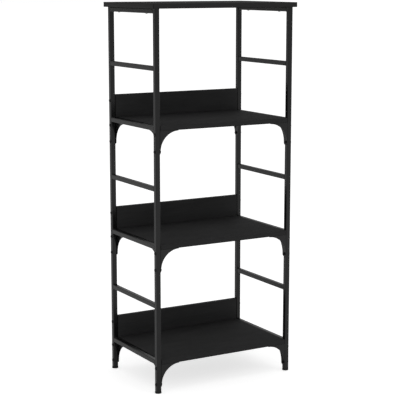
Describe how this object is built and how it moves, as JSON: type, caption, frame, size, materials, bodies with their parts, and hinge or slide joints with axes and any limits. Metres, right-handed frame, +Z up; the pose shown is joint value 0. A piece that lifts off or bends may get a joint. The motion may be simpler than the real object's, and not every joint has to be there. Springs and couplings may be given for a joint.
{
  "type": "bookcase",
  "caption": "Narrow open bookcase: two steel ladder sides, low-backed shelves on concave corner brackets, an overhanging top board and screw-in levelling feet.",
  "frame": {"origin": "on the floor under the middle of the bookcase, with the levelling feet screwed in", "axes": "+Z up, +X to the right as seen from the open front, +Y from the front to the backboards"},
  "size_m": [0.5, 0.328, 1.1725],
  "materials": {
    "steel": "satin black powder coat",
    "board": "black melamine-faced engineered wood",
    "black_bolt": "black oxide",
    "zinc": "zinc plated",
    "plastic": "moulded black plastic"
  },
  "bodies": {
    "frame": {"top_board": "board", "post_front_left": "steel", "post_front_right": "steel", "post_rear_left": "steel", "post_rear_right": "steel", "top_rail_left": "steel", "shelf_rail_lower_left": "steel", "ladder_rung_lower_left": "steel", "shelf_rail_middle_left": "steel", "ladder_rung_middle_left": "steel", "shelf_rail_upper_left": "steel", "ladder_rung_upper_left": "steel", "top_rail_right": "steel", "shelf_rail_lower_right": "steel", "ladder_rung_lower_right": "steel", "shelf_rail_middle_right": "steel", "ladder_rung_middle_right": "steel", "shelf_rail_upper_right": "steel", "ladder_rung_upper_right": "steel", "shelf_lower": "board", "backboard_lower": "board", "corner_bracket_lower_front_left": "steel", "corner_bracket_lower_front_right": "steel", "corner_bracket_lower_rear_left": "steel", "corner_bracket_lower_rear_right": "steel", "shelf_middle": "board", "backboard_middle": "board", "corner_bracket_middle_front_left": "steel", "corner_bracket_middle_front_right": "steel", "corner_bracket_middle_rear_left": "steel", "corner_bracket_middle_rear_right": "steel", "shelf_upper": "board", "backboard_upper": "board", "corner_bracket_upper_front_left": "steel", "corner_bracket_upper_front_right": "steel", "corner_bracket_upper_rear_left": "steel", "corner_bracket_upper_rear_right": "steel", "foot_insert_front_left": "plastic", "foot_insert_front_right": "plastic", "foot_insert_rear_left": "plastic", "foot_insert_rear_right": "plastic", "bracket_bolts": "black_bolt", "bracket_nuts": "black_bolt", "backboard_bolts": "black_bolt", "backboard_inserts": "zinc", "backboard_screws": "zinc", "shelf_screws": "zinc", "top_board_screws": "zinc"},
    "foot_pad_front_left": {"foot_pad_front_left": "plastic"},
    "foot_stud_front_left": {"foot_stud_front_left": "zinc"},
    "foot_pad_front_right": {"foot_pad_front_right": "plastic"},
    "foot_stud_front_right": {"foot_stud_front_right": "zinc"},
    "foot_pad_rear_left": {"foot_pad_rear_left": "plastic"},
    "foot_stud_rear_left": {"foot_stud_rear_left": "zinc"},
    "foot_pad_rear_right": {"foot_pad_rear_right": "plastic"},
    "foot_stud_rear_right": {"foot_stud_rear_right": "zinc"}
  },
  "joints": [
    {"name": "foot_travel_front_left", "type": "slide", "parent": "frame", "child": "foot_stud_front_left", "axis": [0, 0, -1], "range_m": [0, 0.01]},
    {"name": "foot_swivel_front_left", "type": "hinge", "parent": "foot_stud_front_left", "child": "foot_pad_front_left", "pos_m": [-0.2325, -0.1475, 0.0025], "axis": [0, 0, 1], "continuous": true},
    {"name": "foot_travel_front_right", "type": "slide", "parent": "frame", "child": "foot_stud_front_right", "axis": [0, 0, -1], "range_m": [0, 0.01]},
    {"name": "foot_swivel_front_right", "type": "hinge", "parent": "foot_stud_front_right", "child": "foot_pad_front_right", "pos_m": [0.2325, -0.1475, 0.0025], "axis": [0, 0, 1], "continuous": true},
    {"name": "foot_travel_rear_left", "type": "slide", "parent": "frame", "child": "foot_stud_rear_left", "axis": [0, 0, -1], "range_m": [0, 0.01]},
    {"name": "foot_swivel_rear_left", "type": "hinge", "parent": "foot_stud_rear_left", "child": "foot_pad_rear_left", "pos_m": [-0.2325, 0.1475, 0.0025], "axis": [0, 0, 1], "continuous": true},
    {"name": "foot_travel_rear_right", "type": "slide", "parent": "frame", "child": "foot_stud_rear_right", "axis": [0, 0, -1], "range_m": [0, 0.01]},
    {"name": "foot_swivel_rear_right", "type": "hinge", "parent": "foot_stud_rear_right", "child": "foot_pad_rear_right", "pos_m": [0.2325, 0.1475, 0.0025], "axis": [0, 0, 1], "continuous": true}
  ]
}
